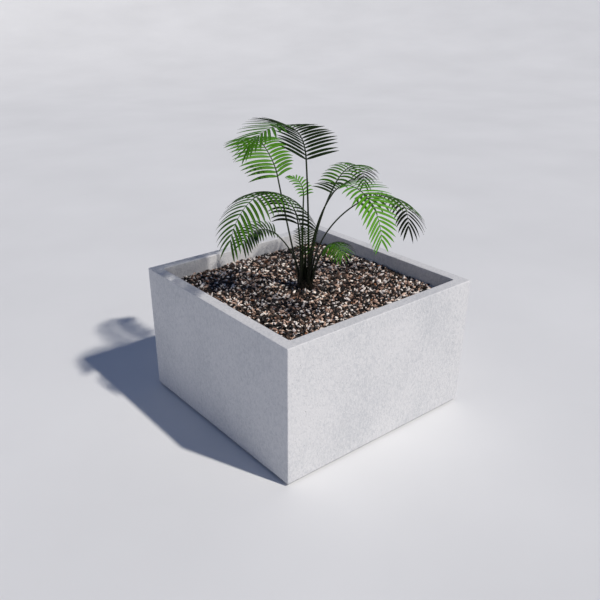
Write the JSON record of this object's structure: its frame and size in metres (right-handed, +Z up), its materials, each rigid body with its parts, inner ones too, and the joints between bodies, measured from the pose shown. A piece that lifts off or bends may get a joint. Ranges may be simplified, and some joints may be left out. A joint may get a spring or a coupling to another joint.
{
  "type": "planter box",
  "caption": "Square cast concrete planter box on rubber pads, filled with gravel-topped soil and planted with a young feather palm.",
  "frame": {"origin": "on the ground, under the middle of the square box", "axes": "+Z up; +X and +Y along the box's two outside faces, +X towards the side on which the lowest fronds hang"},
  "size_m": [1, 1, 1.2638],
  "materials": {
    "concrete": "smooth cast, satin",
    "pad_rubber": "matt",
    "drain_plastic": "matt",
    "socket_steel": "galvanised",
    "drainage_stone": "rough, loose",
    "fleece": "needled, matt",
    "soil": "loose, matt",
    "gravel": "angular, mixed colours",
    "palm_crown": "fibrous",
    "palm_stalk": "smooth, satin",
    "palm_leaf": "waxy, satin"
  },
  "bodies": {
    "root": {"shell": "concrete", "pad_1": "pad_rubber", "pad_2": "pad_rubber", "pad_3": "pad_rubber", "pad_4": "pad_rubber", "drain_sleeve_1": "drain_plastic", "drain_sleeve_2": "drain_plastic", "drain_sleeve_3": "drain_plastic", "drain_sleeve_4": "drain_plastic", "strainer_1": "drain_plastic", "strainer_2": "drain_plastic", "strainer_3": "drain_plastic", "strainer_4": "drain_plastic", "socket_1": "socket_steel", "socket_2": "socket_steel", "socket_3": "socket_steel", "socket_4": "socket_steel", "socket_pin_1": "socket_steel", "socket_pin_2": "socket_steel", "socket_pin_3": "socket_steel", "socket_pin_4": "socket_steel", "drainage_layer": "drainage_stone", "filter_fleece": "fleece", "potting_soil": "soil", "root_ball": "soil", "gravel_mulch": "gravel", "palm_crown": "palm_crown", "frond_01_stalk": "palm_stalk", "frond_02_stalk": "palm_stalk", "frond_03_stalk": "palm_stalk", "frond_04_stalk": "palm_stalk", "frond_05_stalk": "palm_stalk", "frond_06_stalk": "palm_stalk", "frond_07_stalk": "palm_stalk", "frond_08_stalk": "palm_stalk", "frond_09_stalk": "palm_stalk", "frond_10_stalk": "palm_stalk", "frond_11_stalk": "palm_stalk", "frond_01_leaf": "palm_leaf", "frond_02_leaf": "palm_leaf", "frond_03_leaf": "palm_leaf", "frond_04_leaf": "palm_leaf", "frond_05_leaf": "palm_leaf", "frond_06_leaf": "palm_leaf", "frond_07_leaf": "palm_leaf", "frond_08_leaf": "palm_leaf", "frond_09_leaf": "palm_leaf", "frond_10_leaf": "palm_leaf", "frond_11_leaf": "palm_leaf"}
  },
  "joints": []
}
